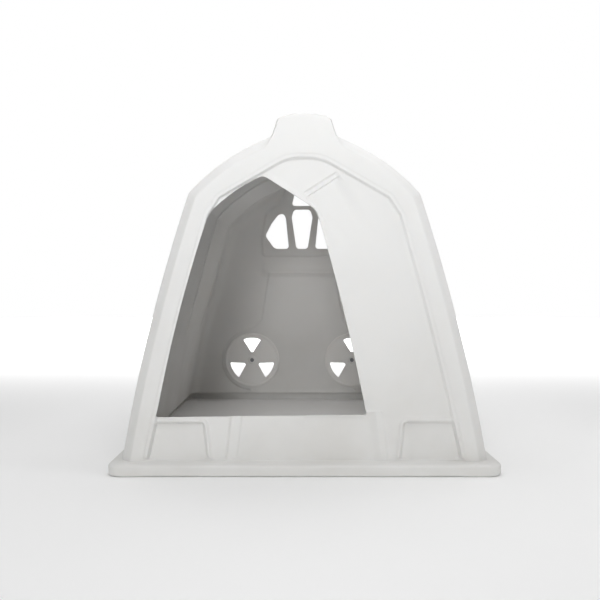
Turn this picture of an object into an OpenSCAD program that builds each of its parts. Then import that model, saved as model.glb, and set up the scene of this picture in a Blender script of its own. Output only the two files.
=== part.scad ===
// Calf hutch: a one-piece moulded shell with an open floor, an arched front wall with an
// off-centre doorway, a hollow ridge and a fan of windows, and two turning vent discs.
// Millimetres, +Z up. The origin is under the middle of the base flange, and the doorway faces -Y.

/* [Overall] */
// Length over the base flange, front to back
hutch_length = 2150; // [2050:10:2250]
// Width over the base flange
hutch_width = 1500; // [1440:10:1560]
// Height to the top of the ridge
hutch_height = 1420; // [1400:5:1450]
// Thickness of the moulded wall
wall = 5; // [4:0.5:6]

/* [Base flange] */
// Width of the flange outside the foot of the walls
flange_w = 46; // [40:1:52]
// Height of the flange
flange_h = 48; // [44:1:54]
// Corner radius of the flange, seen from above
flange_corner = 58; // [54:1:75]

/* [Body] */
// Half-width of the body at its shoulders
shoulder_half = 465; // [455:1:475]
// Height of the shoulders, where the side walls meet the roof
shoulder_z = 1093; // [1085:1:1100]
// How far the side walls bow outward
side_bow = 16; // [8:1:20]
// How far the roof bows upward on each side
roof_bow = 22; // [14:1:26]
// Height of the arch ribs above the roof
rib_rise = 16; // [8:1:20]
// Lean of the front wall from upright, in degrees
front_lean = 7; // [6:0.5:8]
// Lean of the lower back wall from upright, in degrees
back_lean = 4; // [3:0.5:5]
// Lean of the upper back wall from upright, in degrees
crown_lean = 12; // [10:0.5:13]

/* [Ridge] */
// Half-width of the ridge at its foot
ridge_half = 129; // [124:1:134]
// Height of the ridge above the roof beside it
ridge_rise = 95; // [85:1:100]

/* [Front wall] */
// Depth of the arched panel below the frame round it
panel_depth = 12; // [8:1:14]
// Depth of the two corner pockets below the arched panel
pocket_depth = 9; // [6:1:10]
// Depth of the sill panel below the arched panel
sill_depth = 6; // [4:1:7]
// Height of the doorway's sill
sill_z = 215; // [212:1:240]

/* [Vents] */
// Distance of each vent disc's centre from the middle of the hutch
vent_x = 315; // [300:1:330]
// Height of the vent discs' centres
vent_z = 258; // [250:1:270]
// Radius of a vent disc
disc_r = 172; // [165:1:176]
// Outer radius of the openings in the discs and in the wall
slot_r = 139; // [130:1:145]
// Half-angle between the straight sides of an opening, in degrees
slot_half_angle = 32; // [28:1:34]
// Thickness of a disc's plate
disc_t = 5; // [4:0.5:6]

/* [Hidden] */

front_foot = -hutch_length / 2 + flange_w;
back_foot = hutch_length / 2 - flange_w;
foot_half = hutch_width / 2 - flange_w;
ridge_foot_z = hutch_height - ridge_rise;
crease_z = 0.75 * shoulder_z;
bevel = 28;
back_fillet = 64;

// M12 fasteners
bolt_r = 6;
bolt_clear_r = 6.5;
hex_across_flats = 18;
head_h = 7.5;
nut_h = 12;
washer_r = 12;
washer_t = 2.5;
penny_r = 18.5;
penny_t = 3;
thread_past_nut = 3;

// Turning parts of a vent, measured from the inner face of the back wall
pad_t = 2;
pad_r = 30;
end_float = 0.3;
hub_h = 8;
hub_r = 24;
sleeve_r = 8;
disc_bore_r = sleeve_r + 0.05;
disc_back = pad_t + end_float;
sleeve_top = disc_back + hub_h + end_float;

WHITE = [0.93, 0.93, 0.93];
GREY_WHITE = [0.86, 0.86, 0.87];
ZINC = [0.55, 0.56, 0.58];
RUBBER = [0.12, 0.12, 0.12];

// ---- Outlines -------------------------------------------------------------------------------

// Points from p to q along a shallow curve that stands `rise` to the right of the straight line
function bow(p, q, rise, steps) = [
    for (i = [0 : steps])
        let (t = i / steps, along = (q - p) / norm(q - p))
        p + (q - p) * t + [along[1], -along[0]] * rise * 4 * t * (1 - t)];

// A closed outline with each of its corners rounded off over `r` along both edges
function rounded(pts, r, steps = 4) = [
    for (i = [0 : len(pts) - 1])
        let (
            p = pts[i],
            before = pts[(i + len(pts) - 1) % len(pts)] - p,
            after = pts[(i + 1) % len(pts)] - p,
            a = p + before * min(r / norm(before), 0.45),
            b = p + after * min(r / norm(after), 0.45))
        for (k = [0 : steps])
            let (t = k / steps)
            a * (1 - t) * (1 - t) + p * 2 * t * (1 - t) + b * t * t];

function mirrored(pts) = [for (i = [len(pts) - 1 : -1 : 0]) [-pts[i][0], pts[i][1]]];

// Direction in which an outline's point moves for an offset of 1 to the right of its path
function miter(before, p, after) =
    let (
        a = (p - before) / norm(p - before),
        b = (after - p) / norm(after - p),
        na = [a[1], -a[0]],
        nb = [b[1], -b[0]])
    (na + nb) / (1 + na * nb);

// A closed outline moved to the right of its path by d
function shifted(pts, d) = [
    for (i = [0 : len(pts) - 1])
        pts[i] + d * miter(
            pts[(i + len(pts) - 1) % len(pts)], pts[i], pts[(i + 1) % len(pts)])];

// ---- Body section: the right half, from the ground up to the middle of the ridge -------------

half_section = concat(
    bow([foot_half, 0], [shoulder_half, shoulder_z], side_bow, 4),
    [for (p = bow([shoulder_half, shoulder_z], [ridge_half + 20, ridge_foot_z - 6], roof_bow, 5))
        if (p[0] < shoulder_half - 1) p],
    [
        [ridge_half, ridge_foot_z + 8],
        [ridge_half - 15, hutch_height - 40],
        [ridge_half - 30, hutch_height - 14],
        [ridge_half - 48, hutch_height - 4],
        [ridge_half - 90, hutch_height]]);

// How much of an end bevel each point takes: all of it on the walls and roof, less on the ridge
function bevel_share(p) = p[0] > ridge_half + 10 ? 1 : p[0] > ridge_half - 10 ? 0.6 : 0.36;

// The ribs and the fall of the roof fade out down the walls, and the ribs stop at the ridge
function upper_share(p) = max(0, min(1, (p[1] - 450) / 250));
function rib_share(p) = p[0] > ridge_half + 10 ? upper_share(p) : 0;

function front_y(z) = front_foot + tan(front_lean) * (z - flange_h);
function back_y(z) = z < crease_z
    ? back_foot - tan(back_lean) * (z - flange_h)
    : back_foot - tan(back_lean) * (crease_z - flange_h) - tan(crown_lean) * (z - crease_z);

// Direction in which point i of the half section moves for an outward offset of 1
function section_miter(i) =
    i == 0 ? [1, 0]
    : i == len(half_section) - 1 ? [0, 1]
    : miter(half_section[i - 1], half_section[i], half_section[i + 1]);

// Stations along the body: which end the station follows, how far it is from there (from the
// middle of the hutch, for "middle"), its end bevel, the rise of its rib and the fall of its roof
roof_fall = 20;
stations = [
    ["front", 0, bevel, 0, 0],
    ["front", bevel / 4, bevel / 4, 0, 0],
    ["front", bevel, 0, 0, 0],
    ["middle", -340, 0, 0, 0],
    ["middle", -320, 0, rib_rise, 0],
    ["middle", -270, 0, rib_rise, 0],
    ["middle", -250, 0, 0, 0],
    ["middle", 150, 0, 0, 0],
    ["middle", 170, 0, rib_rise, 0],
    ["middle", 220, 0, rib_rise, 0],
    ["middle", 240, 0, 0, 0],
    ["middle", 640, 0, 0, roof_fall / 2],
    ["back", back_fillet, 0, 0, roof_fall],
    ["back", back_fillet / 4, back_fillet / 4, 0, roof_fall],
    ["back", 0, back_fillet, 0, roof_fall]];

function station_y(s, z, skin) =
    s[0] == "front" ? front_y(z) + s[1] + skin
    : s[0] == "back" ? back_y(z) - s[1] - skin
    : s[1];

function half_ring(s, skin) = [
    for (i = [0 : len(half_section) - 1])
        let (
            p = half_section[i],
            grow = s[3] * rib_share(p) - s[2] * bevel_share(p) - s[4] * upper_share(p),
            q = p + section_miter(i) * (grow - skin),
            z = i == 0 && skin > 0 ? -10 : q[1])
        [q[0], station_y(s, z, skin), z]];

function both_sides(half) = concat(
    half,
    [for (i = [len(half) - 1 : -1 : 0]) [-half[i][0], half[i][1], half[i][2]]]);

// A solid through rings of points. Each ring is symmetric about X = 0, so its ends are closed
// by flat strips between mirrored points.
module loft(rings) {
    n = len(rings[0]);
    last = (len(rings) - 1) * n;
    sides = [
        for (k = [0 : len(rings) - 2])
            for (i = [0 : n - 1])
                let (
                    a = k * n + i,
                    b = k * n + (i + 1) % n)
                for (f = [[a, b, b + n], [a, b + n, a + n]])
                    f];
    first_end = [for (i = [0 : n / 2 - 2]) [n - 1 - i, n - 2 - i, i + 1, i]];
    last_end = [for (i = [0 : n / 2 - 2])
        [last + i, last + i + 1, last + n - 2 - i, last + n - 1 - i]];
    polyhedron([for (r = rings) for (p = r) p], concat(sides, first_end, last_end));
}

// The body as a solid, shrunk by `skin` all over; a shrunk one runs out below the ground
module body_solid(skin) {
    loft([for (s = stations) both_sides(half_ring(s, skin))]);
}

// ---- Base flange ------------------------------------------------------------------------------

function corner(cx, cy, r, from) = [
    for (i = [0 : 5])
        [cx + r * cos(from - 18 * i), cy + r * sin(from - 18 * i)]];

function flange_ring(inset, z) =
    let (
        r = flange_corner - inset,
        cx = hutch_width / 2 - flange_corner,
        cy = hutch_length / 2 - flange_corner)
    [for (p = concat(corner(cx, cy, r, 90), corner(cx, -cy, r, 0))) [p[0], p[1], z]];

module flange_solid() {
    loft([
        for (s = [[1, 0], [0, 3], [0, flange_h - 14], [4, flange_h - 4], [14, flange_h]])
            both_sides(flange_ring(s[0], s[1]))]);
}

module flange_hollow() {
    loft([
        for (s = [[wall, -10], [wall, flange_h - wall - 8], [wall + 8, flange_h - wall]])
            both_sides(flange_ring(s[0], s[1]))]);
}

// ---- Front wall -------------------------------------------------------------------------------

// Outlines on the front wall, as X and height, run clockwise as seen from the front
arch_outline = concat(
    bow([-628, 16], [-400, 1020], -10, 4),
    [[-365, 1072]],
    bow([-334, 1096], [-110, 1225], -4, 2),
    [[-61, 1246], [61, 1246]],
    bow([110, 1225], [334, 1096], -4, 2),
    [[365, 1072]],
    bow([400, 1020], [628, 16], -10, 4));

left_pocket = rounded([[-588, 16], [-578, 207], [-376, 207], [-346, 16]], 14, 2);
right_pocket = rounded([[346, 16], [376, 207], [578, 207], [588, 16]], 14, 2);
sill_panel = [[-295, 16], [-268, sill_z + 12], [268, sill_z + 12], [295, 16]];

doorway = concat(
    rounded([[-572, sill_z], [-574, sill_z + 12]], 4, 1),
    bow([-560, 268], [-388, 975], -12, 4),
    [[-379, 1002], [-357, 1030]],
    [[-188, 1147], [-165, 1158], [-140, 1154]],
    [[20, 1047], [46, 1020]],
    bow([58, 985], [238, 232], -8, 4),
    [[241, sill_z]]);

// A block that follows the lean of the front wall, from depth a to depth b below its face,
// narrowing by `chamfer` on the way
module front_block(outline, a, b, chamfer) {
    n = len(outline);
    far = shifted(outline, chamfer);
    points = concat(
        [for (p = outline) [p[0], front_y(p[1]) + a, p[1]]],
        [for (p = far) [p[0], front_y(p[1]) + b, p[1]]]);
    sides = [
        for (i = [0 : n - 1])
            let (j = (i + 1) % n)
            for (f = [[i, i + n, j + n], [i, j + n, j]])
                f];
    polyhedron(points, concat(
        sides,
        [[for (i = [0 : n - 1]) i]],
        [[for (i = [n - 1 : -1 : 0]) i + n]]));
}

// All of the front wall's relief, `skin` deeper than the face
module front_relief(skin) {
    front_block(arch_outline, skin - 6, skin + panel_depth, 20);
    for (outline = [left_pocket, right_pocket])
        front_block(outline, skin + panel_depth - 6, skin + panel_depth + pocket_depth, 12);
    front_block(sill_panel, skin + panel_depth - 6, skin + panel_depth + sill_depth, 12);
}

module doorway_cut() {
    translate([0, front_foot + 300, 0])
        rotate([90, 0, 0])
            linear_extrude(400)
                polygon(doorway);
}

// ---- Windows ----------------------------------------------------------------------------------

centre_window = rounded([[-36, 957], [-64, 1150], [-40, 1196], [40, 1196], [64, 1150], [36, 957]], 16);
top_window = rounded([[-62, 1219], [-44, 1290], [-16, 1326], [16, 1326], [44, 1290], [62, 1219]], 14);
side_window = rounded([[84, 957], [102, 1140], [128, 1170], [152, 1150], [226, 1041], [168, 957]], 22);

module windows_cut() {
    for (outline = [centre_window, top_window, side_window, mirrored(side_window)])
        translate([0, back_foot, 0])
            rotate([90, 0, 0])
                linear_extrude(260)
                    polygon(outline);
}

// ---- Vents ------------------------------------------------------------------------------------

// Puts its children on the inner face of the back wall at a vent, with +Z into the hutch
module at_vent(side) {
    translate([side * vent_x, back_y(vent_z) - wall, vent_z])
        rotate([90 + back_lean, 0, 0])
            children();
}

// Three openings, one of them at the top
module vent_slots() {
    apex_r = 39;
    near_r = 50;
    for (turn = [0, 120, 240])
        rotate(turn)
            intersection() {
                circle(r = slot_r, $fn = 120);
                polygon([
                    [-(near_r - apex_r) * tan(slot_half_angle), near_r],
                    [-(disc_r - apex_r) * tan(slot_half_angle), disc_r],
                    [(disc_r - apex_r) * tan(slot_half_angle), disc_r],
                    [(near_r - apex_r) * tan(slot_half_angle), near_r]]);
            }
}

module wall_vent_cut(side) {
    at_vent(side) {
        translate([0, 0, -20])
            linear_extrude(30)
                vent_slots();
        translate([0, 0, -20])
            cylinder(r = bolt_clear_r, h = 30, $fn = 48);
    }
}

module vent_disc(side) {
    color(GREY_WHITE)
        at_vent(side)
            translate([0, 0, disc_back])
                difference() {
                    rotate_extrude($fn = 180)
                        polygon([
                            [disc_bore_r, 0], [disc_r - 2, 0], [disc_r, 2], [disc_r, disc_t + 1],
                            [disc_r - 2, disc_t + 3], [disc_r - 10, disc_t + 3],
                            [disc_r - 14, disc_t], [hub_r + 4, disc_t], [hub_r, hub_h],
                            [disc_bore_r, hub_h]]);
                    translate([0, 0, -1])
                        linear_extrude(disc_t + 5)
                            vent_slots();
                }
}

// A flat ring with its lower face at z
module ring(r_out, r_in, t, z) {
    translate([0, 0, z])
        difference() {
            cylinder(r = r_out, h = t, $fn = 64);
            translate([0, 0, -1])
                cylinder(r = r_in, h = t + 2, $fn = 64);
        }
}

module hexagon(h) {
    cylinder(r = hex_across_flats / 2 / cos(30), h = h, $fn = 6);
}

module pivot_bolt(side) {
    shank_start = -wall - penny_t - nut_h - thread_past_nut;
    head_z = sleeve_top + washer_t;
    color(ZINC)
        at_vent(side)
            union() {
                translate([0, 0, shank_start])
                    cylinder(r = bolt_r, h = head_z + 1 - shank_start, $fn = 64);
                translate([0, 0, head_z])
                    hexagon(head_h);
            }
}

module head_washer(side) {
    color(ZINC)
        at_vent(side)
            ring(washer_r, bolt_clear_r, washer_t, sleeve_top);
}

module spacer_sleeve(side) {
    color(ZINC)
        at_vent(side)
            ring(sleeve_r, bolt_r + 0.1, sleeve_top - pad_t, pad_t);
}

module friction_washer(side) {
    color(RUBBER)
        at_vent(side)
            ring(pad_r, bolt_clear_r, pad_t, 0);
}

module outer_washer(side) {
    color(ZINC)
        at_vent(side)
            ring(penny_r, bolt_clear_r, penny_t, -wall - penny_t);
}

module lock_nut(side) {
    color(ZINC)
        at_vent(side)
            translate([0, 0, -wall - penny_t - nut_h])
                difference() {
                    hexagon(nut_h);
                    translate([0, 0, -1])
                        cylinder(r = bolt_r + 0.05, h = nut_h + 2, $fn = 64);
                }
}

// ---- Shell ------------------------------------------------------------------------------------

module hutch_shell() {
    color(WHITE)
        difference() {
            union() {
                difference() {
                    body_solid(0);
                    front_relief(0);
                }
                flange_solid();
            }
            difference() {
                body_solid(wall);
                front_relief(wall);
            }
            flange_hollow();
            doorway_cut();
            windows_cut();
            wall_vent_cut(-1);
            wall_vent_cut(1);
        }
}

hutch_shell();
vent_disc(-1);  // left_vent_disc
pivot_bolt(-1);  // left_pivot_bolt
head_washer(-1);  // left_head_washer
spacer_sleeve(-1);  // left_spacer_sleeve
friction_washer(-1);  // left_friction_washer
outer_washer(-1);  // left_outer_washer
lock_nut(-1);  // left_lock_nut
vent_disc(1);  // right_vent_disc
pivot_bolt(1);  // right_pivot_bolt
head_washer(1);  // right_head_washer
spacer_sleeve(1);  // right_spacer_sleeve
friction_washer(1);  // right_friction_washer
outer_washer(1);  // right_outer_washer
lock_nut(1);  // right_lock_nut
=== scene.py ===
"""Calf hutch: a rotomoulded polyethylene shell with two turning vent discs, in metres.

The doorway faces -Y. Outlines on the front and back walls are (x, z) pairs.
"""

import math

import bmesh
import bpy
import numpy as np
from mathutils import Matrix, Vector
from mathutils.geometry import delaunay_2d_cdt


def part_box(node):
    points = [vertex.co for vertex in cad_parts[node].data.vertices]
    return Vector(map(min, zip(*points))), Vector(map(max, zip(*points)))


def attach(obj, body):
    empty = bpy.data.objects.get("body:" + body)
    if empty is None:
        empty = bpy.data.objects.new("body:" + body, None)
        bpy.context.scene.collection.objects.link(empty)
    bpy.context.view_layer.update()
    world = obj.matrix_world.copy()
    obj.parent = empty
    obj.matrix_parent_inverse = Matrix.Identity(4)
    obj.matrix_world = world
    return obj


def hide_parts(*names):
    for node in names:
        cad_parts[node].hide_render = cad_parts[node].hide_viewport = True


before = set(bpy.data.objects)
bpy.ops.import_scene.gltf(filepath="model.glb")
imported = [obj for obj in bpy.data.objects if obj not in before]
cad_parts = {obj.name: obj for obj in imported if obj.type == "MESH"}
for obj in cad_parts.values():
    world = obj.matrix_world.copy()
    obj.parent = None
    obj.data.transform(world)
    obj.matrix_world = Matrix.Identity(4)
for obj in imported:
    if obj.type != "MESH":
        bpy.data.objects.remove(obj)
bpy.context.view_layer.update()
LOW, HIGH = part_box("hutch_shell")

bl_info = {
    "name": "Calf Hutch",
    "version": (1, 0, 0),
    "blender": (4, 5, 0),
    "location": "View3D > Sidebar > Calf Hutch",
    "description": "Builds a moulded calf hutch with turning vent discs around its frame",
    "category": "Add Mesh",
}

MM = 0.001
ARC_STEPS = 8
WELD = 0.02 * MM
EASED_EDGE = 0.9 * MM


# ---- Settings --------------------------------------------------------------------------------


def length(name, description, millimetres):
    """A length that a user would change, kept in metres."""
    return bpy.props.FloatProperty(
        name=name, description=description, default=millimetres * MM, unit="LENGTH", precision=4
    )


def lean(name, description, degrees):
    """An angle from upright."""
    return bpy.props.FloatProperty(
        name=name, description=description, default=math.radians(degrees), subtype="ANGLE"
    )


def colour(name, description, hex_value):
    """An sRGB hex colour."""
    return bpy.props.StringProperty(name=name, description=description, default=hex_value)


class HutchSizes(bpy.types.PropertyGroup):
    """Driving sizes of the shell."""

    wall: length("Wall", "Thickness of the moulded wall", 5)
    flange_width: length("Flange width", "How far the flange stands out from the walls", 47.5)
    flange_height: length("Flange height", "Height of the base flange", 48)
    flange_corner: length("Flange corner", "Corner radius of the flange, seen from above", 56)
    foot_fillet: length("Foot fillet", "Radius between the walls and the flange", 9)
    side_bow: length("Side bow", "How far the side walls bow outward", 20)
    shoulder_half: length("Shoulder half-width", "Half-width at the shoulders", 465)
    shoulder_height: length("Shoulder height", "Height of the shoulders", 1093)
    roof_bow: length("Roof bow", "How far each side of the roof bows upward", 22)
    ridge_half: length("Ridge half-width", "Half-width of the ridge at its foot", 129)
    ridge_rise: length("Ridge rise", "Height of the ridge above the roof beside it", 95)
    rib_rise: length("Rib rise", "Height of the arch ribs", 22)
    roof_fall: length("Roof fall", "How much the roof drops from front to back", 20)
    front_bevel: length("Front bevel", "Width of the bevel round the front wall", 37)
    front_bevel_depth: length("Front bevel depth", "How far back that bevel reaches", 36)
    back_fillet: length("Back fillet", "Radius between the body and the back wall", 64)
    front_lean: lean("Front lean", "Lean of the front wall from upright", 7)
    back_lean: lean("Back lean", "Lean of the lower back wall from upright", 4)
    crown_lean: lean("Crown lean", "Lean of the upper back wall from upright", 12)
    crease_height: length("Crease height", "Where the back wall changes its lean", 819.75)
    panel_depth: length("Panel depth", "Depth of the arched panel below its frame", 18)
    pocket_depth: length("Pocket depth", "Depth of the corner pockets below the panel", 13)
    sill_depth: length("Sill depth", "Depth of the sill panel below the arched panel", 10)
    slant_depth: length("Slant depth", "Depth of the short slanting step", 12)
    rim_height: length("Rim height", "Swell of the panel at the doorway's edge", 7)
    rim_width: length("Rim width", "How far that swell reaches", 170)
    back_relief: length("Back relief", "Step round the raised panel of the back wall", 5)
    vent_x: length("Vent offset", "Distance of a vent's centre from the middle", 315)
    vent_z: length("Vent height", "Height of a vent's centre", 258)
    slot_radius: length("Slot radius", "Outer radius of the vent openings", 139)


class HutchColours(bpy.types.PropertyGroup):
    """Colours of the pieces, as sRGB hex values."""

    shell: colour("Shell", "White polyethylene of the shell", "#E5E5E4")
    # Painted shade: a darker colour mixed into the polyethylene towards the ground
    ground_shade: colour("Dust", "Dust that settles near the ground", "#CBC9C4")
    disc: colour("Discs", "Polyethylene of the vent discs", "#EAE9E7")
    zinc: colour("Zinc", "Dull zinc plate of the fasteners", "#8E9094")
    rubber: colour("Rubber", "Friction washers", "#26272A")
    floor: colour("Floor", "Studio floor", "#FAFAFA")


# ---- Outlines --------------------------------------------------------------------------------


def mm(*pairs):
    """Points given in millimetres."""
    return np.array(pairs, float) * MM


def bow(start, end, rise, steps):
    """Points on a shallow curve that stands `rise` to the right of the straight line."""
    start, end = np.array(start, float), np.array(end, float)
    along = (end - start) / np.linalg.norm(end - start)
    t = np.linspace(0, 1, steps + 1)[:, None]
    return start + (end - start) * t + np.array([along[1], -along[0]]) * rise * 4 * t * (1 - t)


def corner_arc(before, corner, after, radius):
    """Points of the arc that rounds one corner, at most as large as its edges allow."""
    to_before, to_after = before - corner, after - corner
    len_before, len_after = np.linalg.norm(to_before), np.linalg.norm(to_after)
    to_before, to_after = to_before / len_before, to_after / len_after
    turn = math.pi - math.acos(float(np.clip(to_before @ to_after, -1, 1)))
    if turn < math.radians(1):
        return [corner] * (ARC_STEPS + 1)
    cut = min(radius * math.tan(turn / 2), 0.48 * len_before, 0.48 * len_after)
    radius = cut / math.tan(turn / 2)
    inward = to_before + to_after
    centre = corner + inward / np.linalg.norm(inward) * radius / math.cos(turn / 2)
    arm = corner + to_before * cut - centre
    side = -to_before * radius
    angles = np.linspace(0, turn, ARC_STEPS + 1)
    return [centre + arm * math.cos(a) + side * math.sin(a) for a in angles]


def rounded(points, radii, closed=True):
    """The outline with each corner that has a radius turned into an arc."""
    points = np.asarray(points, float)
    count = len(points)
    radii = np.broadcast_to(radii, count)
    path = []
    for i in range(count):
        at_end = not closed and i in (0, count - 1)
        if radii[i] <= 0 or at_end:
            path.append(points[i])
        else:
            path += corner_arc(points[i - 1], points[i], points[(i + 1) % count], radii[i])
    return np.array(path)


def resampled(outline, spacing):
    """A closed outline as evenly spaced points."""
    loop = np.vstack([outline, outline[:1]])
    steps = np.linalg.norm(np.diff(loop, axis=0), axis=1)
    reach = np.concatenate([[0], np.cumsum(steps)])
    count = max(8, int(round(reach[-1] / spacing)))
    at = np.arange(count) * reach[-1] / count
    return np.column_stack([np.interp(at, reach, loop[:, k]) for k in (0, 1)])


def evenly_spaced(path, count):
    """An open path as `count` evenly spaced points."""
    reach = np.concatenate([[0], np.cumsum(np.linalg.norm(np.diff(path, axis=0), axis=1))])
    at = np.linspace(0, reach[-1], count)
    return np.column_stack([np.interp(at, reach, path[:, k]) for k in (0, 1)])


def mirrored(outline):
    """The outline reflected in x = 0, still running the same way round."""
    return outline[::-1] * (-1, 1)


def inside(points, outline):
    """True for the points inside a closed outline."""
    result = np.zeros(len(points), bool)
    x, z = points[:, 0], points[:, 1]
    for a, b in zip(outline, np.roll(outline, -1, axis=0)):
        if a[1] == b[1]:
            continue
        crosses = (a[1] > z) != (b[1] > z)
        result ^= crosses & (x < a[0] + (z - a[1]) * (b[0] - a[0]) / (b[1] - a[1]))
    return result


def depth_inside(points, outline):
    """Distance from each point to the outline, positive inside it."""
    nearest = np.full(len(points), 1e9)
    for a, b in zip(outline, np.roll(outline, -1, axis=0)):
        edge = b - a
        t = np.clip(((points - a) @ edge) / max(edge @ edge, 1e-18), 0, 1)
        away = points - a - t[:, None] * edge
        nearest = np.minimum(nearest, np.hypot(away[:, 0], away[:, 1]))
    return np.where(inside(points, outline), nearest, -nearest)


def ramp(distance, width, softness=0.2):
    """From 0 to 1 over `width`, straight in the middle with rounded ends."""
    t = np.clip(np.asarray(distance) / width, 0, 1)
    scale = 1 / (1 - softness)
    low = scale * t * t / (2 * softness)
    high = 1 - scale * (1 - t) ** 2 / (2 * softness)
    middle = scale * (t - softness / 2)
    return np.where(t < softness, low, np.where(t > 1 - softness, high, middle))


def double_step(distance, width):
    """A small step, a flat band and a crisp main step, from 0 to 1 over `width`."""
    return 0.15 * ramp(distance, 0.2 * width) + 0.85 * ramp(distance - 0.7 * width, 0.3 * width)


def bump(distance, half_width):
    """1 at distance 0, falling smoothly to 0 at half_width."""
    return 1 - ramp(np.abs(distance), half_width, 0.45)


# ---- Shape of the body -------------------------------------------------------------------------

SIDE_STEPS = 44
ROOF_STEPS = 18
RIBS = ((-0.295, 0.032, 1.0), (0.200, 0.028, 1.0), (0.800, 0.020, 0.7))
RIB_SIDE = 7 * MM
FLUTE_PLACE = 0.015


def front_y(z, s):
    """Depth of the front wall's face at height z."""
    return LOW[1] + s.flange_width + math.tan(s.front_lean) * (z - s.flange_height)


def lower_back_y(z, s):
    """Depth of the plane of the lower back wall at height z."""
    foot = HIGH[1] - s.flange_width + 1.5 * MM
    return foot - math.tan(s.back_lean) * (z - s.flange_height)


def back_y(z, s):
    """Depth of the back wall's outer face at height z, with a soft crease between its leans."""
    extra = math.tan(s.crown_lean) - math.tan(s.back_lean)
    soft = 12 * MM
    above = np.asarray(z) - s.crease_height
    beyond = np.where(above > soft, above, np.clip(above + soft, 0, None) ** 2 / (4 * soft))
    return lower_back_y(z, s) - extra * beyond


def half_section(s, inset=0.0, rib=0.0, fall=0.0, flute=0.0):
    """The right half of the body's section, from its foot to the middle of the ridge.

    The section shrinks by `inset` and `fall` and grows by `rib` and `flute`.
    """
    top = HIGH[2]
    foot = (HIGH[0] - s.flange_width, s.flange_height + s.foot_fillet)
    shoulder = (s.shoulder_half, s.shoulder_height)
    roof_end = (s.ridge_half + 26 * MM, top - s.ridge_rise - 9 * MM)
    side = bow(foot, shoulder, s.side_bow, SIDE_STEPS)
    roof = bow(shoulder, roof_end, s.roof_bow, ROOF_STEPS)[1:]
    ridge = np.array(
        [
            (s.ridge_half + 4 * MM, top - s.ridge_rise + 2 * MM),
            (s.ridge_half - 7 * MM, top - 62 * MM),
            (s.ridge_half - 19 * MM, top - 22 * MM),
            (s.ridge_half - 44 * MM, top - 9 * MM),
            (s.ridge_half - 84 * MM, top - 1 * MM),
            (0.0, top),
        ]
    )
    points = np.vstack([side, roof, ridge])
    radii = np.zeros(len(points))
    radii[SIDE_STEPS] = 60 * MM
    radii[len(side) + len(roof)] = 26 * MM
    radii[len(side) + len(roof) + 2 : len(side) + len(roof) + 4] = 22 * MM

    edges = np.diff(points, axis=0)
    edges /= np.linalg.norm(edges, axis=1)[:, None]
    normals = np.column_stack([edges[:, 1], -edges[:, 0]])
    before, after = normals[:-1], normals[1:]
    miter = (before + after) / (1 + np.sum(before * after, axis=1))[:, None]
    miter = np.vstack([[1, 0], miter, [0, 1]])

    x, z = points[:, 0], points[:, 1]
    on_ridge = np.clip((s.ridge_half + 40 * MM - x) / (36 * MM), 0, 1)
    bevel_share = 1 - 0.80 * on_ridge
    high = ramp(z - 0.42, 0.30)
    grow = (
        rib * high * (1 - on_ridge)
        + flute * (1 - ramp(z - 0.20, 0.35))
        - fall * high
        - inset * bevel_share
    )
    moved = points + miter * grow[:, None]
    moved[0, 1] = foot[1]
    turn = np.concatenate([[0], before[:, 0] * after[:, 1] - before[:, 1] * after[:, 0], [0]])
    radii = np.where(radii > 0, np.maximum(radii + np.sign(turn) * grow, 8 * MM), 0)
    return rounded(moved, radii, closed=False)


def body_ring(s, y_at, **changes):
    """One ring of the body: both halves of a section, each point at depth y_at(z)."""
    half = half_section(s, **changes)
    path = np.vstack([half, half[-2::-1] * (-1, 1)])
    return [(x, float(y_at(z)), z) for x, z in path]


def bevel_profile(s):
    """(inset, depth) of each ring of the front bevel, from the face to the side walls."""
    face_margin, side_margin = 9 * MM, 12 * MM
    corners = [
        (s.front_bevel + face_margin, 0),
        (s.front_bevel, 0),
        (0, s.front_bevel_depth),
        (0, s.front_bevel_depth + side_margin),
    ]
    return evenly_spaced(rounded(np.array(corners), (0, 14 * MM, 18 * MM, 0), closed=False), 18)


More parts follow.
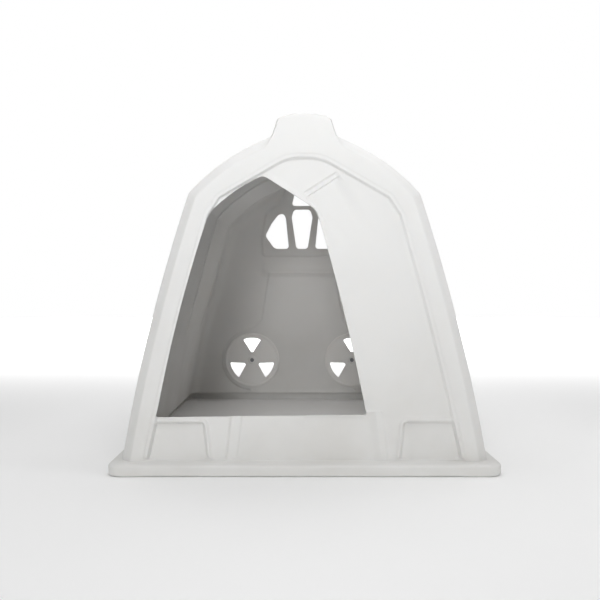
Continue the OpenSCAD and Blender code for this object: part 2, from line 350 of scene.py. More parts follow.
def body_rings(s):
    """Rings of the whole body, from the front wall's edge to the back wall's edge."""
    profile = bevel_profile(s)
    rings = [
        body_ring(s, lambda z, d=d: front_y(z, s) + d, inset=i) for i, d in profile
    ]
    bevel_end = profile[-1][1]

    def fall_at(y):
        return s.roof_fall * float(ramp(y + 0.25, 0.95))

    def changes_at(y):
        rib = sum(share * ramp(half - abs(y - place), RIB_SIDE) for place, half, share in RIBS)
        return {
            "rib": s.rib_rise * float(rib),
            "fall": fall_at(y),
            "flute": 7 * MM * float(bump(y - FLUTE_PLACE, 0.085)),
        }

    # Between these depths the rings stand upright; towards the walls they take up their lean
    straight_from, straight_to = -0.37, 0.56
    for t in np.linspace(0, 1, 10)[1:-1]:
        rings.append(
            body_ring(
                s,
                lambda z, t=t: (1 - t) * (front_y(z, s) + bevel_end) + t * straight_from,
                **changes_at(-0.8 + t * (straight_from + 0.8)),
            )
        )

    rear_edge, ring_gap = 0.93, 0.05
    depths = set(np.round(np.arange(straight_from, rear_edge - 0.03, ring_gap), 4))
    rib_side = np.array([-1.4, -0.5, 0, 0.2, 0.4, 0.6, 0.8, 1, 1.5, 2.4]) * RIB_SIDE
    for place, half, _ in RIBS:
        depths -= {y for y in depths if abs(y - place) < half + 15 * MM}
        depths |= set(np.round(place - half + rib_side, 4))
        depths |= set(np.round(place + half - rib_side, 4))
    for y in sorted(depths):

        def y_at(z, y=y):
            if y < straight_to:
                return y
            share = (y - straight_to) / (rear_edge - straight_to)
            end = back_y(z, s) + s.back_relief - s.back_fillet
            return straight_to + share * (end - straight_to)

        rings.append(body_ring(s, y_at, **changes_at(y)))

    for angle in np.linspace(0, math.pi / 2, 12):
        inset = s.back_fillet * (1 - math.cos(angle))
        depth = s.back_fillet * (1 - math.sin(angle))
        rings.append(
            body_ring(
                s,
                lambda z, d=depth: back_y(z, s) + s.back_relief - d,
                inset=inset,
                fall=s.roof_fall,
            )
        )
    return rings


# ---- Outlines on the front wall -----------------------------------------------------------------

SILL = 215
BELOW_FOOT = 16

ARCH_PANEL = rounded(
    np.vstack(
        [
            bow((-628 * MM, BELOW_FOOT * MM), (-400 * MM, 1010 * MM), -11 * MM, 12),
            mm((-352, 1087), (-72, 1253), (72, 1253), (352, 1087)),
            bow((400 * MM, 1010 * MM), (628 * MM, BELOW_FOOT * MM), -11 * MM, 12),
        ]
    ),
    [0] * 12 + [40 * MM, 50 * MM, 200 * MM, 200 * MM, 50 * MM, 40 * MM] + [0] * 12,
)

DOORWAY = rounded(
    np.vstack(
        [
            mm((-573, SILL - 2)),
            bow((-562 * MM, 262 * MM), (-384 * MM, 992 * MM), -13 * MM, 10),
            bow((-362 * MM, 1027 * MM), (-165 * MM, 1163 * MM), -11 * MM, 6),
            mm((50, 1024)),
            bow((66 * MM, 962 * MM), (236 * MM, 240 * MM), -8 * MM, 10),
            mm((242, SILL + 6)),
        ]
    ),
    [5 * MM] + [0] * 10 + [30 * MM] * 2 + [0] * 5 + [30 * MM, 60 * MM] + [0] * 11 + [5 * MM],
)

# The pockets run out past the arched panel, whose edge cuts them off
LEFT_POCKET = rounded(
    mm((-690, BELOW_FOOT), (-690, 211), (-374, 211), (-347, BELOW_FOOT)), (0, 0, 30 * MM, 0)
)
RIGHT_POCKET = rounded(
    mm((345, BELOW_FOOT), (368, 213), (690, 213), (690, BELOW_FOOT)), (0, 34 * MM, 0, 0)
)
SILL_PANEL = mm((-310, BELOW_FOOT), (-286, 240), (278, 240), (303, BELOW_FOOT))
SILL_INNER_PANEL = mm((-268, BELOW_FOOT), (-243, 240), (300, 240), (330, BELOW_FOOT))
SILL_SLOPE_LEFT = 9 * MM
SILL_SLOPE_RIGHT = 34 * MM
SILL_BEAD = 7 * MM
# A short slanting step over the right of the doorway
STEP_START, STEP_END = mm((6, 1100), (118, 1173))


def pocket_height(depth, s):
    """Height of a pocket and the bead round it, by distance inside the bead's outer edge."""
    bead = 5 * MM * ramp(depth, 6 * MM)
    return bead - (s.pocket_depth + 5 * MM) * ramp(depth - 14 * MM, 10 * MM)


def slant_height(points, s):
    """The slanting step: sharp along its line, fading out below it and past its end."""
    along = (STEP_END - STEP_START) / np.linalg.norm(STEP_END - STEP_START)
    below = (points - STEP_START) @ np.array([along[1], -along[0]])
    past_end = (points - STEP_END) @ along
    before_start = (STEP_START - points) @ along
    fade = 1 - ramp(below - 40 * MM, 360 * MM, 0.5)
    fade *= (1 - ramp(past_end, 16 * MM)) * (1 - ramp(before_start, 16 * MM))
    twice = 0.8 * ramp(below, 5 * MM) + 1.2 * ramp(below - 20 * MM, 5 * MM)
    return -s.slant_depth / 2 * twice * fade


def rim_height(points, s):
    """The panel swells towards the doorway's right edge and has a low rim beside its peak."""
    outside = -depth_inside(points, DOORWAY)
    away = np.clip(outside / s.rim_width, 0, 1)
    right = ramp(points[:, 0] + 0.10, 0.20) * ramp(points[:, 1] - 0.18, 0.12)
    crest_height = 2.5 * MM
    crest = 1 - ramp(outside - 15 * MM, 7 * MM)
    near_peak = 1 - ramp(np.abs(points[:, 0] + 80 * MM) - 40 * MM, 30 * MM)
    high = ramp(points[:, 1] - 1.04, 0.04)
    return s.rim_height * (1 - away) ** 2 * right + crest_height * crest * near_peak * high


def front_height(points, s):
    """How far the front wall stands out from its frame, which is at 0."""
    in_panel = double_step(depth_inside(points, ARCH_PANEL), 24 * MM)
    height = in_panel * (slant_height(points, s) + rim_height(points, s) - s.panel_depth)
    for outline in (LEFT_POCKET, RIGHT_POCKET):
        height += in_panel * pocket_height(depth_inside(points, outline), s)
    sill = depth_inside(points, SILL_PANEL)
    slope = np.where(points[:, 0] > 0, SILL_SLOPE_RIGHT, SILL_SLOPE_LEFT)
    height -= s.sill_depth * ramp(sill / slope, 1.0)
    height += 4 * MM * ramp(depth_inside(points, SILL_INNER_PANEL), SILL_BEAD)
    return height


# ---- Outlines on the back wall --------------------------------------------------------------------

CENTRE_WINDOW = rounded(
    mm((-35, 957), (-64, 1150), (-50, 1196), (50, 1196), (64, 1150), (35, 957)),
    (20 * MM, 30 * MM, 22 * MM, 22 * MM, 30 * MM, 20 * MM),
)
TOP_WINDOW = rounded(
    mm((-63, 1219), (-46, 1290), (-26, 1328), (26, 1328), (46, 1290), (63, 1219)),
    (14 * MM, 30 * MM, 22 * MM, 22 * MM, 30 * MM, 14 * MM),
)
SIDE_WINDOW = rounded(
    mm((82, 957), (100, 1140), (112, 1171), (146, 1165), (188, 1112), (228, 1036), (172, 957)),
    (16 * MM, 30 * MM, 22 * MM, 22 * MM, 120 * MM, 28 * MM, 40 * MM),
)
WINDOWS = (CENTRE_WINDOW, TOP_WINDOW, SIDE_WINDOW, mirrored(SIDE_WINDOW))
WINDOW_FIELD = rounded(
    mm(
        (-252, 905), (-257, 1020), (-229, 1168), (-125, 1274), (-76, 1352),
        (76, 1352), (125, 1274), (229, 1168), (257, 1020), (252, 905),
    ),
    30 * MM,
)
RAISED_PANEL = rounded(
    mm(
        (-207, 812), (-254, 512), (-292, 466), (-330, 452), (-330, 20),
        (330, 20), (330, 452), (292, 466), (254, 512), (207, 812),
    ),
    (0, 40 * MM, 50 * MM, 0, 0, 0, 0, 50 * MM, 40 * MM, 0),
)
VENT_RING_RADIUS = 190 * MM


def circle(x, z, radius, count=96):
    """A round outline, clockwise from its top."""
    a = np.arange(count) * math.tau / count
    return np.column_stack([x + radius * np.sin(a), z + radius * np.cos(a)])


def vent_slot(turn, outer_radius):
    """One opening of a vent: a wedge cut off short of the centre, with rounded corners."""
    apex, near, half_angle = 39 * MM, 50 * MM, math.radians(32)
    slope = math.tan(half_angle)
    end_angle = math.radians(23.3)
    rim = [
        (outer_radius * math.sin(a), outer_radius * math.cos(a))
        for a in np.linspace(-end_angle, end_angle, 9)
    ]
    near_half = (near - apex) * slope
    corners = np.array([(-near_half, near), *rim, (near_half, near)])
    radii = [5 * MM] + [8 * MM] + [0] * 7 + [8 * MM] + [5 * MM]
    path = rounded(corners, radii)
    c, n = math.cos(turn), math.sin(turn)
    return path @ np.array([(c, -n), (n, c)])


def vent_slots(outer_radius, x=0.0, z=0.0):
    """The three openings of a vent centred on (x, z)."""
    return [vent_slot(k * math.tau / 3, outer_radius) + (x, z) for k in range(3)]


def back_height(points, s):
    """How far the back wall stands out of its raised panel's plane, seen from behind."""
    panel = depth_inside(points, RAISED_PANEL)
    for side in (-1, 1):
        away = np.hypot(points[:, 0] - side * s.vent_x, points[:, 1] - s.vent_z)
        panel = np.maximum(panel, VENT_RING_RADIUS - away)
    height = s.back_relief * (1 - ramp(panel + 4 * MM, 11 * MM))
    height -= (s.back_relief + 3 * MM) * ramp(depth_inside(points, WINDOW_FIELD), 14 * MM)
    width_share = ramp(262 * MM - np.abs(points[:, 0]), 36 * MM)
    z = points[:, 1]
    lip = ramp(z - 778 * MM, 44 * MM) * (1 - ramp(z - 824 * MM, 92 * MM, 0.12))
    height -= 15 * MM * lip * width_share
    return height


# ---- Mesh building ----------------------------------------------------------------------------


def along_outline(outline, offsets, spacing):
    """Points at the given distances inside an outline, in rows that follow it."""
    base = resampled(outline, spacing)
    tangent = np.roll(base, -1, axis=0) - np.roll(base, 1, axis=0)
    tangent /= np.linalg.norm(tangent, axis=1)[:, None]
    normal = np.column_stack([tangent[:, 1], -tangent[:, 0]])
    if not inside(base[:1] + normal[:1] * 1e-4, outline)[0]:
        normal = -normal
    rows = []
    for k, offset in enumerate(offsets):
        row = base + normal * offset
        if k % 2:
            row = (row + np.roll(row, 1, axis=0)) / 2
        rows.append(row[np.abs(depth_inside(row, outline) - offset) < 0.5 * MM])
    return np.vstack(rows)


def lattice(low, high, spacing):
    """A triangular lattice of points over a rectangle."""
    rows = np.arange(low[1], high[1], spacing * 0.866)
    return np.array(
        [
            (x + (k % 2) * spacing / 2, z)
            for k, z in enumerate(rows)
            for x in np.arange(low[0], high[0], spacing)
        ]
    )


def thinned(points, keep_off, gap):
    """The points that are no closer than `gap` to each other or to the outlines in keep_off."""
    clear = np.ones(len(points), bool)
    for outline in keep_off:
        clear &= np.abs(depth_inside(points, outline)) > 1.5 * gap
    cells, kept = {}, []
    for p in points[clear]:
        cell = (int(math.floor(p[0] / gap)), int(math.floor(p[1] / gap)))
        near = [
            q
            for i in (-1, 0, 1)
            for j in (-1, 0, 1)
            for q in cells.get((cell[0] + i, cell[1] + j), ())
        ]
        if all((p[0] - q[0]) ** 2 + (p[1] - q[1]) ** 2 > gap * gap for q in near):
            cells.setdefault(cell, []).append(p)
            kept.append(p)
    return np.array(kept)


def add_chart(bm, boundary, holes, points, place, flip):
    """Fills a flat outline, less its holes, with triangles through the points."""
    coords, edges = [], []
    for loop in (boundary, *holes):
        start = len(coords)
        coords += [Vector(p) for p in loop]
        count = len(loop)
        edges += [(start + i, start + (i + 1) % count) for i in range(count)]
    coords += [Vector(p) for p in points]
    found, _, faces, *_ = delaunay_2d_cdt(coords, edges, [], 0, 1e-7, False)
    flat = np.array([tuple(v) for v in found])
    faces = np.array(faces)
    middles = flat[faces].mean(axis=1)
    keep = inside(middles, boundary)
    for hole in holes:
        keep &= ~inside(middles, hole)
    verts = [bm.verts.new(p) for p in place(flat)]
    for a, b, c in faces[keep]:
        order = (verts[a], verts[c], verts[b]) if flip else (verts[a], verts[b], verts[c])
        bm.faces.new(order)


def add_rings(bm, rings, closed=False):
    """Joins each ring of points to the next with quads."""
    rows = [[bm.verts.new(p) for p in ring] for ring in rings]
    count = len(rows[0])
    for near, far in zip(rows, rows[1:]):
        for i in range(count if closed else count - 1):
            j = (i + 1) % count
            bm.faces.new((near[i], near[j], far[j], far[i]))


def slant_rows():
    """Rows of points that follow the slanting step, a little past both its ends."""
    along = (STEP_END - STEP_START) / np.linalg.norm(STEP_END - STEP_START)
    below = np.array([along[1], -along[0]])
    reach = np.linalg.norm(STEP_END - STEP_START)
    return np.array(
        [
            STEP_START + along * a + below * b
            for a in np.arange(-24 * MM, reach + 34 * MM, 5 * MM)
            for b in np.array([-3, 0, 1.7, 3.3, 5, 8, 14, 20, 21.7, 23.3, 25, 28]) * MM
        ]
    )


def add_front_wall(bm, edge, s):
    """The front wall with its doorway and relief, inside the ring `edge`."""
    foot = edge[0][2]
    rim = np.array([(x, z) for x, _, z in edge])
    base = np.linspace(rim[-1], rim[0], 70)[1:-1]
    boundary = np.vstack([rim, base])
    step = np.array([-0.35, 0, 0.2, 0.4, 0.6, 0.8, 1, 1.35])
    arch = np.array([-3, 0, 1.6, 3.2, 4.8, 7, 11, 15, 16.8, 18.6, 20.4, 22.2, 24, 26, 30]) * MM
    bead = np.array([-3, 0, 2, 4, 6, 10, 14, 16, 18, 20, 22, 24, 26.5, 30]) * MM
    rows = [
        along_outline(ARCH_PANEL, arch, 9 * MM),
        along_outline(LEFT_POCKET, bead, 7 * MM),
        along_outline(RIGHT_POCKET, bead, 7 * MM),
        along_outline(SILL_PANEL, step * SILL_SLOPE_LEFT, 9 * MM),
        along_outline(SILL_PANEL, step * SILL_SLOPE_RIGHT, 9 * MM),
        along_outline(SILL_INNER_PANEL, step * SILL_BEAD, 9 * MM),
        slant_rows(),
        along_outline(DOORWAY, np.array([-6, -12, -16, -19, -22, -26]) * MM, 12 * MM),
        lattice((-0.72, foot), (0.72, 1.40), 26 * MM),
    ]
    doorway = resampled(DOORWAY, 8 * MM)
    points = thinned(np.vstack(rows), (boundary, doorway), 1.35 * MM)
    points = points[inside(points, boundary) & ~inside(points, doorway)]

    def place(flat):
        height = front_height(flat, s)
        return [(x, front_y(z, s) - h, z) for (x, z), h in zip(flat, height)]

    add_chart(bm, boundary, [doorway], points, place, flip=False)


def add_back_wall(bm, edge, s):
    """The back wall with its windows, vents and relief, inside the ring `edge`."""
    foot = edge[0][2]
    rim = np.array([(x, z) for x, _, z in edge])
    base = np.linspace(rim[-1], rim[0], 70)[1:-1]
    boundary = np.vstack([rim, base])
    holes = [resampled(w, 7 * MM) for w in WINDOWS]
    for side in (-1, 1):
        holes += [resampled(v, 5 * MM) for v in vent_slots(s.slot_radius, side * s.vent_x, s.vent_z)]
        holes.append(circle(side * s.vent_x, s.vent_z, 6.5 * MM, 24))
    step = np.array([-9, -6, -4, -2, 0, 2, 4, 6, 8, 11]) * MM
    rings = [circle(side * s.vent_x, s.vent_z, VENT_RING_RADIUS, 180) for side in (-1, 1)]
    crease = lattice((-0.66, s.crease_height - 20 * MM), (0.66, s.crease_height + 22 * MM), 11 * MM)
    lip = lattice((-0.28, 0.772), (0.28, 0.920), 9 * MM)
    rows = [
        along_outline(RAISED_PANEL, step, 8 * MM),
        *[along_outline(ring, step, 8 * MM) for ring in rings],
        along_outline(WINDOW_FIELD, np.array([-3, 0, 2, 5, 8, 11, 14, 17]) * MM, 8 * MM),
        *[along_outline(w, np.array([-5, -11]) * MM, 9 * MM) for w in WINDOWS],
        crease,
        lip,
        lattice((-0.70, foot), (0.70, 1.40), 26 * MM),
    ]
    points = thinned(np.vstack(rows), (boundary, *holes), 2.4 * MM)
    points = points[inside(points, boundary)]
    for hole in holes:
        points = points[~inside(points, hole)]

    side_and_roof = np.vstack([rim, [(rim[-1][0], -1), (rim[0][0], -1)]])

    def place(flat):
        relief = ramp(depth_inside(flat, side_and_roof), 16 * MM)
        height = s.back_relief + relief * (back_height(flat, s) - s.back_relief)
        depth = back_y(flat[:, 1], s)
        return [(x, d + h, z) for (x, z), d, h in zip(flat, depth, height)]

    add_chart(bm, boundary, holes, points, place, flip=True)


def flange_profile(s):
    """(offset, height) from the foot of the walls, out over the flange and under its lip."""
    width, height, fillet = s.flange_width, s.flange_height, s.foot_fillet
    corners = np.array(
        [
            (0, height + fillet),
            (0, height),
            (width, height - 1.5 * MM),
            (width - 2 * MM, 0),
            (width - 20 * MM, 0),
        ]
    )
    return rounded(corners, (0, fillet, 13 * MM, 12 * MM, 0), closed=False)


def room_to_edge(points, half, corner):
    """Distance from each point out to the edge of a centred rectangle with rounded corners."""
    past = np.abs(points) - (half - corner)
    beyond = np.linalg.norm(np.maximum(past, 0), axis=1)
    return corner - beyond - np.minimum(past.max(axis=1), 0)


def add_flange(bm, s):
    """Sweeps the flange round the open foot of the walls."""
    foot = s.flange_height + s.foot_fillet
    bm.edges.ensure_lookup_table()
    rim = [
        e for e in bm.edges if e.is_boundary and all(abs(v.co.z - foot) < 0.1 * MM for v in e.verts)
    ]
    after = {}
    for e in rim:
        loop = e.link_loops[0]
        after[loop.link_loop_next.vert] = loop.vert
    loop_verts = [next(iter(after))]
    while after[loop_verts[-1]] is not loop_verts[0]:
        loop_verts.append(after[loop_verts[-1]])
    if len(loop_verts) != len(rim):
        raise RuntimeError("the foot of the walls is not one closed loop")

    walls = np.array([v.co.to_2d() for v in loop_verts])
    half = np.array(HIGH[:2])
    # The flange runs straight out from the walls and fans out round each corner
    fan_radius, fan_steps = 100 * MM, 24
    fan = np.maximum(np.abs(walls) - (half - fan_radius), 0)
    outward = np.sign(walls) * fan / np.linalg.norm(fan, axis=1)[:, None]
    reach = np.zeros(len(walls))
    for _ in range(fan_steps):
        reach += room_to_edge(walls + outward * reach[:, None], half, s.flange_corner)

    previous = loop_verts
    count = len(loop_verts)
    for offset, height in flange_profile(s)[1:]:
        ring = walls + outward * (reach * offset / s.flange_width)[:, None]
        row = [bm.verts.new((x, y, height)) for x, y in ring]
        for i in range(count):
            j = (i + 1) % count
            bm.faces.new((previous[i], previous[j], row[j], row[i]))
        previous = row


def finished_mesh(name, bm, wall, smooth_angle=50):
    """Turns the surface into a solid wall of even thickness, with its cut edges eased."""
    bmesh.ops.remove_doubles(bm, verts=bm.verts, dist=WELD)
    bmesh.ops.recalc_face_normals(bm, faces=bm.faces)
    mesh = bpy.data.meshes.new(name)
    bm.to_mesh(mesh)
    bm.free()
    piece = bpy.data.objects.new(name, mesh)
    bpy.context.scene.collection.objects.link(piece)
    thickness = piece.modifiers.new("Wall", "SOLIDIFY")
    thickness.thickness = wall
    thickness.offset = -1
    thickness.use_quality_normals = True
    ease = piece.modifiers.new("Eased edges", "BEVEL")
    ease.limit_method = "ANGLE"
    ease.angle_limit = math.radians(60)
    ease.width = EASED_EDGE
    ease.segments = 2
    ease.use_clamp_overlap = True
    apply_modifiers(piece)
    smooth_by_angle(piece, smooth_angle)
    return piece


def apply_modifiers(piece):
    """Replaces the piece's mesh with the result of its modifiers."""
    depsgraph = bpy.context.evaluated_depsgraph_get()
    result = bpy.data.meshes.new_from_object(piece.evaluated_get(depsgraph))
    piece.modifiers.clear()
    piece.data = result


def smooth_by_angle(piece, degrees):
    """Smooth shading, with edges sharper than this angle kept crisp."""
    mesh = piece.data
    mesh.polygons.foreach_set("use_smooth", [True] * len(mesh.polygons))
    mesh.set_sharp_from_angle(angle=math.radians(degrees))


# ---- Materials --------------------------------------------------------------------------------


def linear(hex_value):
    """An sRGB hex colour as a linear RGBA tuple."""
    parts = [int(hex_value[i : i + 2], 16) / 255 for i in (1, 3, 5)]
    return tuple(c / 12.92 if c <= 0.04045 else ((c + 0.055) / 1.055) ** 2.4 for c in parts) + (1,)


def add_node(tree, kind, links=None, **settings):
    """Adds a node. Settings name its properties or inputs, and links feed its inputs."""
    node = tree.nodes.new(kind)
    for key, value in settings.items():
        if hasattr(node, key):
            setattr(node, key, value)
        else:
            node.inputs[key.replace("_", " ")].default_value = value
    for key, source in (links or {}).items():
        tree.links.new(source, node.inputs[key])
    return node


def new_material(name):
    """An empty node material with its shader and output."""
    material = bpy.data.materials.new(name)
    material.use_nodes = True
    tree = material.node_tree
    tree.nodes.clear()
    shader = add_node(tree, "ShaderNodeBsdfPrincipled")
    add_node(tree, "ShaderNodeOutputMaterial", {"Surface": shader.outputs["BSDF"]})
    return material, tree, shader


def moulded_polyethylene(name, hex_value, ground_shade_hex, ground_shade_height):
    """Polyethylene set against a hot mould, which gives the eye a matt, faintly waxy white.

    It has a fine pebbled grain, a slow waviness from shrinkage, a little light passing through
    it, and painted shade, broken into random patches, that darkens it towards the ground.
    """
    material, tree, shader = new_material(name)
    # Real grain is about 1 mm across, too fine to show from here, so it is drawn coarser
    grain_size, wave_size, smudge_size = 9 * MM, 130 * MM, 260 * MM
    place = add_node(tree, "ShaderNodeTexCoord").outputs["Object"]
    grain = add_node(
        tree, "ShaderNodeTexNoise", {"Vector": place}, Scale=1 / grain_size, Detail=3.0
    )
    wave = add_node(
        tree, "ShaderNodeTexNoise", {"Vector": place}, Scale=1 / wave_size, Detail=1.0
    )
    smudge = add_node(
        tree, "ShaderNodeTexNoise", {"Vector": place}, Scale=1 / smudge_size, Detail=6.0
    )
    height = add_node(tree, "ShaderNodeSeparateXYZ", {"Vector": place})
    # Painted shade: the colour darkens towards the ground and fades out higher up, in random patches
    low = add_node(
        tree,
        "ShaderNodeMapRange",
        {"Value": height.outputs["Z"]},
        From_Min=0.0,
        From_Max=ground_shade_height,
        To_Min=1.0,
        To_Max=0.0,
    )
    patchy = add_node(
        tree,
        "ShaderNodeMapRange",
        {"Value": smudge.outputs["Fac"]},
        From_Min=0.42,
        From_Max=0.72,
        To_Min=0.3,
        To_Max=0.6,
    )
    ground_shade = add_node(
        tree, "ShaderNodeMath", {0: low.outputs["Result"], 1: patchy.outputs["Result"]},
        operation="MULTIPLY",
    )
    tint = add_node(
        tree,
        "ShaderNodeMix",
        {"Factor": ground_shade.outputs["Value"]},
        data_type="RGBA",
    )
    tint.inputs[6].default_value = linear(hex_value)
    tint.inputs[7].default_value = linear(ground_shade_hex)
    rough = add_node(
        tree,
        "ShaderNodeMapRange",
        {"Value": smudge.outputs["Fac"]},
        From_Min=0.3,
        From_Max=0.7,
        To_Min=0.46,
        To_Max=0.58,
    )
    waves = add_node(
        tree,
        "ShaderNodeBump",
        {"Height": wave.outputs["Fac"]},
        Strength=0.35,
        Distance=2.2 * MM,
    )
    pebble = add_node(
        tree,
        "ShaderNodeBump",
        {"Height": grain.outputs["Fac"], "Normal": waves.outputs["Normal"]},
        Strength=0.12,
        Distance=0.5 * MM,
    )
    tree.links.new(tint.outputs[2], shader.inputs["Base Color"])
    tree.links.new(rough.outputs["Result"], shader.inputs["Roughness"])
    tree.links.new(pebble.outputs["Normal"], shader.inputs["Normal"])
    shader.inputs["IOR"].default_value = 1.5
    shader.inputs["Specular IOR Level"].default_value = 0.4
    shader.inputs["Subsurface Weight"].default_value = 0.5
    shader.inputs["Subsurface Radius"].default_value = (1.0, 0.95, 0.9)
    shader.inputs["Subsurface Scale"].default_value = 2 * MM
    return material


def zinc_plated_steel(name, hex_value):
    """Cold-formed steel with dull zinc plate: grey, satin, with a cloudy spangle."""
    material, tree, shader = new_material(name)
    spangle_size = 2.5 * MM
    place = add_node(tree, "ShaderNodeTexCoord").outputs["Object"]
    spangle = add_node(
        tree, "ShaderNodeTexNoise", {"Vector": place}, Scale=1 / spangle_size, Detail=4.0
    )
    base = linear(hex_value)
    tint = add_node(tree, "ShaderNodeMix", {"Factor": spangle.outputs["Fac"]}, data_type="RGBA")
    tint.inputs[6].default_value = tuple(0.72 * c for c in base[:3]) + (1,)
    tint.inputs[7].default_value = base
    rough = add_node(
        tree,
        "ShaderNodeMapRange",
        {"Value": spangle.outputs["Fac"]},
        To_Min=0.34,
        To_Max=0.56,
    )
    tree.links.new(tint.outputs[2], shader.inputs["Base Color"])
    tree.links.new(rough.outputs["Result"], shader.inputs["Roughness"])
    shader.inputs["Metallic"].default_value = 1.0
    return material


def moulded_rubber(name, hex_value):
    """Pressed black rubber: dark, matt, with a dusty bloom."""
    material, tree, shader = new_material(name)
    bloom_size = 12 * MM
    place = add_node(tree, "ShaderNodeTexCoord").outputs["Object"]
    bloom = add_node(
        tree, "ShaderNodeTexNoise", {"Vector": place}, Scale=1 / bloom_size, Detail=5.0
    )
    base = linear(hex_value)
    tint = add_node(tree, "ShaderNodeMix", {"Factor": bloom.outputs["Fac"]}, data_type="RGBA")
    tint.inputs[6].default_value = base
    tint.inputs[7].default_value = tuple(2.2 * c for c in base[:3]) + (1,)
    tree.links.new(tint.outputs[2], shader.inputs["Base Color"])
    shader.inputs["Roughness"].default_value = 0.8
    shader.inputs["IOR"].default_value = 1.52
    return material


def painted_floor(name, hex_value):
    """A seamless studio floor in matt paint, very slightly uneven."""
    material, tree, shader = new_material(name)
    place = add_node(tree, "ShaderNodeTexCoord").outputs["Object"]
    mottle = add_node(tree, "ShaderNodeTexNoise", {"Vector": place}, Scale=1.5, Detail=3.0)
    rough = add_node(
        tree, "ShaderNodeMapRange", {"Value": mottle.outputs["Fac"]}, To_Min=0.75, To_Max=0.9
    )
    tree.links.new(rough.outputs["Result"], shader.inputs["Roughness"])
    shader.inputs["Base Color"].default_value = linear(hex_value)
    return material


def material_of(key):
    """The material for a slot, made once."""
    colours = bpy.context.scene.hutch_colours
    makers = {
        # Painted shade reaches 0.85 m up the shell and 0.12 m up the discs
        "shell": lambda n: moulded_polyethylene(n, colours.shell, colours.ground_shade, 0.85),
        "disc": lambda n: moulded_polyethylene(n, colours.disc, colours.ground_shade, 0.12),
        "zinc": lambda n: zinc_plated_steel(n, colours.zinc),
        "rubber": lambda n: moulded_rubber(n, colours.rubber),
        "floor": lambda n: painted_floor(n, colours.floor),
    }
    names = {
        "shell": "Rotomoulded polyethylene",
        "disc": "Press-moulded polyethylene",
        "zinc": "Zinc-plated steel",
        "rubber": "Moulded rubber",
        "floor": "Matt painted floor",
    }
    return bpy.data.materials.get(names[key]) or makers[key](names[key])


def dress(piece, key):
    """Gives the piece one material all over."""
    piece.data.materials.clear()
    piece.data.materials.append(material_of(key))


# ---- Pieces -----------------------------------------------------------------------------------


class HUTCH_OT_shell(bpy.types.Operator):
    """Build the moulded shell, with its front and back walls, ribs, ridge and flange"""

    bl_idname = "hutch.build_shell"
    bl_label = "Build Shell"

    def execute(self, context):
        s = context.scene.hutch_sizes
        bm = bmesh.new()
        rings = body_rings(s)
        add_rings(bm, rings)
        add_front_wall(bm, rings[0], s)
        add_back_wall(bm, rings[-1], s)
        bmesh.ops.remove_doubles(bm, verts=bm.verts, dist=WELD)
        bmesh.ops.holes_fill(bm, edges=bm.edges, sides=3)
        bmesh.ops.recalc_face_normals(bm, faces=bm.faces)
        add_flange(bm, s)
        piece = finished_mesh("shell_skin", bm, s.wall)
        dress(piece, "shell")
        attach(piece, "hutch")
        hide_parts("hutch_shell")
        return {"FINISHED"}


def vent_frame(side, s):
    """Places a vent on the inner face of the back wall, with +Z into the hutch."""
    y = lower_back_y(s.vent_z, s) - s.wall
    tilt = Matrix.Rotation(math.pi / 2 + s.back_lean, 4, "X")
    return Matrix.Translation((side * s.vent_x, y, s.vent_z)) @ tilt


class HUTCH_OT_vent_discs(bpy.types.Operator):
    """Build the two slotted discs that turn over the vents"""

    bl_idname = "hutch.build_vent_discs"
    bl_label = "Build Vent Discs"

    def execute(self, context):
        s = context.scene.hutch_sizes
        radius, bore, plate = 172 * MM, 8.05 * MM, 5 * MM
        gap_to_wall, lip_height, hub_height = 2.3 * MM, 2.4 * MM, 3 * MM
        for name, side in (("left", -1), ("right", 1)):
            bm = bmesh.new()
            slots = [resampled(v, 4 * MM) for v in vent_slots(s.slot_radius)]
            holes = [*slots, circle(0, 0, bore, 32)]
            rows = [circle(0, 0, r * MM, 150) for r in (171, 169, 167, 164, 161, 158, 155, 152)]
            rows += [circle(0, 0, r * MM, 40) for r in (12, 17, 21, 23, 25, 27, 29, 32)]
            rows += [along_outline(v, np.array([-4, -9]) * MM, 6 * MM) for v in slots]
            rows.append(lattice((-radius, -radius), (radius, radius), 13 * MM))
            rim = circle(0, 0, radius, 160)
            points = thinned(np.vstack(rows), (rim, *holes), 1.4 * MM)
            points = points[inside(points, rim)]
            for hole in holes:
                points = points[~inside(points, hole)]

            def place(flat):
                r = np.hypot(flat[:, 0], flat[:, 1])
                lip = lip_height * ramp(r - 155 * MM, 7 * MM) * (1 - ramp(r - 168 * MM, 4 * MM))
                hub = hub_height * (1 - ramp(r - 20 * MM, 8 * MM))
                return [(x, y, gap_to_wall + plate + h) for (x, y), h in zip(flat, lip + hub)]

            add_chart(bm, rim, holes, points, place, flip=False)
            piece = finished_mesh(f"{name}_disc_plate", bm, plate)
            piece.data.transform(vent_frame(side, s))
            dress(piece, "disc")
            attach(piece, f"{name}_vent")
            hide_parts(f"{name}_vent_disc")
        return {"FINISHED"}


class HUTCH_OT_fasteners(bpy.types.Operator):
    """Finish the bolts, washers, sleeves and nuts that hold the discs"""

    bl_idname = "hutch.finish_fasteners"
    bl_label = "Finish Fasteners"

    def execute(self, context):
        for name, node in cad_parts.items():
            if name.endswith("friction_washer"):
                dress(node, "rubber")
            elif name.endswith(("bolt", "washer", "sleeve", "nut")):
                dress(node, "zinc")
        return {"FINISHED"}


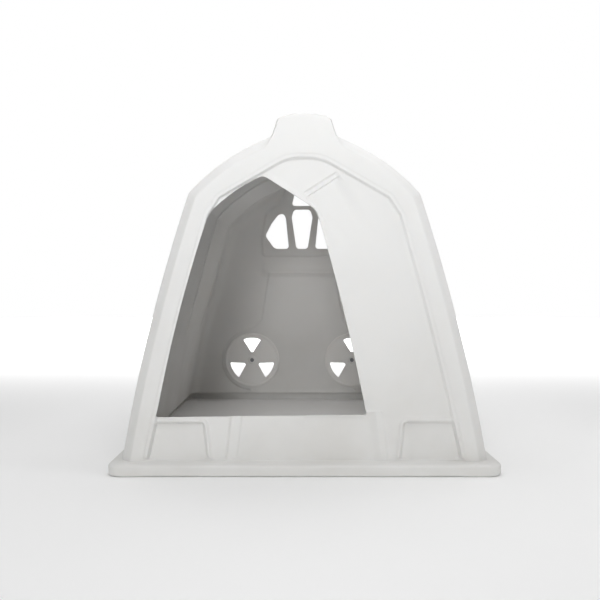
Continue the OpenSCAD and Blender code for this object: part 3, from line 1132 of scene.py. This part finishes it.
class HUTCH_OT_stage(bpy.types.Operator):
    """Set the pale floor, the soft studio light and the camera"""

    bl_idname = "hutch.set_stage"
    bl_label = "Set Stage"

    def execute(self, context):
        scene = context.scene
        bpy.ops.mesh.primitive_circle_add(vertices=96, radius=16, fill_type="NGON")
        floor = context.object
        floor.name = "studio_floor"
        dress(floor, "floor")

        world = bpy.data.worlds.new("Soft studio")
        scene.world = world
        world.use_nodes = True
        tree = world.node_tree
        tree.nodes.clear()
        surround = add_node(tree, "ShaderNodeBackground", Color=(1, 1, 1, 1), Strength=0.20)
        backdrop = add_node(tree, "ShaderNodeBackground", Color=(1, 1, 1, 1), Strength=1.0)
        seen = add_node(tree, "ShaderNodeLightPath").outputs["Is Camera Ray"]
        parts = {0: seen, 1: surround.outputs[0], 2: backdrop.outputs[0]}
        mix = add_node(tree, "ShaderNodeMixShader", parts)
        add_node(tree, "ShaderNodeOutputWorld", {"Surface": mix.outputs[0]})

        add_softbox("Top light", (0.1, -2.2, 2.6), (0, -0.95, 1.0), 0.8, 10.5)
        add_softbox("High light", (-0.6, -6.0, 4.2), (0, -1.0, 0.6), 1.0, 62)
        add_softbox("Front light", (-1.2, -14.0, 2.9), (0, 0.9, 0.5), 2.0, 360)
        add_softbox("Right light", (3.4, -1.7, 2.3), (0, -0.8, 0.7), 1.0, 17)
        add_softbox("Left light", (-3.4, -2.2, 2.3), (0, -0.8, 0.7), 1.0, 6)
        add_softbox("Overhead light", (0, 1.5, 5.5), (0, 1.5, 0), 6.0, 185)
        # The far floor has lights of its own, narrow in spread so that little of their light reaches the hutch
        for x, y, power in ((0, 11.5, 1700), (0, -13, 500), (13, 0, 1300), (-13, 0, 1300)):
            lamp = add_softbox("Floor light", (x, y, 12), (x, y, 0), 13.0, power)
            lamp.data.spread = math.radians(50)
        # Two small lights stand in for the glow of the walls inside the hutch
        warm = (1.0, 0.95, 0.91)
        add_softbox("Side glow", (0.50, 0.28, 0.60), (-0.5, 0.20, 0.60), 0.5, 0.50, warm)
        add_softbox("Roof glow", (0.05, 0.24, 0.95), (0.0, 1.0, 0.20), 0.3, 0.57, warm)

        camera = bpy.data.objects.new("Camera", bpy.data.cameras.new("Camera"))
        scene.collection.objects.link(camera)
        camera.location = (-0.025, -4.115, 0.7116)
        camera.rotation_euler = (math.pi / 2, 0, 0)
        camera.data.sensor_width = 36
        camera.data.lens = 48.6
        camera.data.shift_x = 0.0033
        camera.data.shift_y = -0.02
        camera.data.clip_start, camera.data.clip_end = 0.05, 200
        scene.camera = camera
        scene.view_settings.view_transform = "Standard"
        return {"FINISHED"}


def add_softbox(name, location, target, size, power, tint=(1, 1, 1)):
    """A square area light that faces the target."""
    light = bpy.data.lights.new(name, "AREA")
    light.shape = "SQUARE"
    light.size = size
    light.energy = power
    light.color = tint
    lamp = bpy.data.objects.new(name, light)
    lamp.location = location
    direction = Vector(target) - Vector(location)
    lamp.rotation_euler = direction.to_track_quat("-Z", "Y").to_euler()
    lamp.visible_camera = False
    bpy.context.scene.collection.objects.link(lamp)
    return lamp


OPERATORS = (HUTCH_OT_shell, HUTCH_OT_vent_discs, HUTCH_OT_fasteners, HUTCH_OT_stage)


class HUTCH_PT_sidebar(bpy.types.Panel):
    """Lists the steps that build the hutch"""

    bl_idname = "HUTCH_PT_sidebar"
    bl_label = "Calf Hutch"
    bl_space_type = "VIEW_3D"
    bl_region_type = "UI"
    bl_category = "Calf Hutch"

    def draw(self, context):
        for group in (context.scene.hutch_sizes, context.scene.hutch_colours):
            box = self.layout.box()
            for key in type(group).__annotations__:
                box.prop(group, key)
        for operator in OPERATORS:
            self.layout.operator(operator.bl_idname)


CLASSES = (HutchSizes, HutchColours, *OPERATORS, HUTCH_PT_sidebar)


def register():
    """Register the classes and the scene's settings."""
    for cls in CLASSES:
        bpy.utils.register_class(cls)
    bpy.types.Scene.hutch_sizes = bpy.props.PointerProperty(type=HutchSizes)
    bpy.types.Scene.hutch_colours = bpy.props.PointerProperty(type=HutchColours)


def unregister():
    """Remove them again."""
    del bpy.types.Scene.hutch_colours
    del bpy.types.Scene.hutch_sizes
    for cls in reversed(CLASSES):
        bpy.utils.unregister_class(cls)


def main():
    """Build every piece in order."""
    register()
    bpy.ops.hutch.build_shell()
    bpy.ops.hutch.build_vent_discs()
    bpy.ops.hutch.finish_fasteners()
    bpy.ops.hutch.set_stage()


if __name__ == "__main__":
    main()
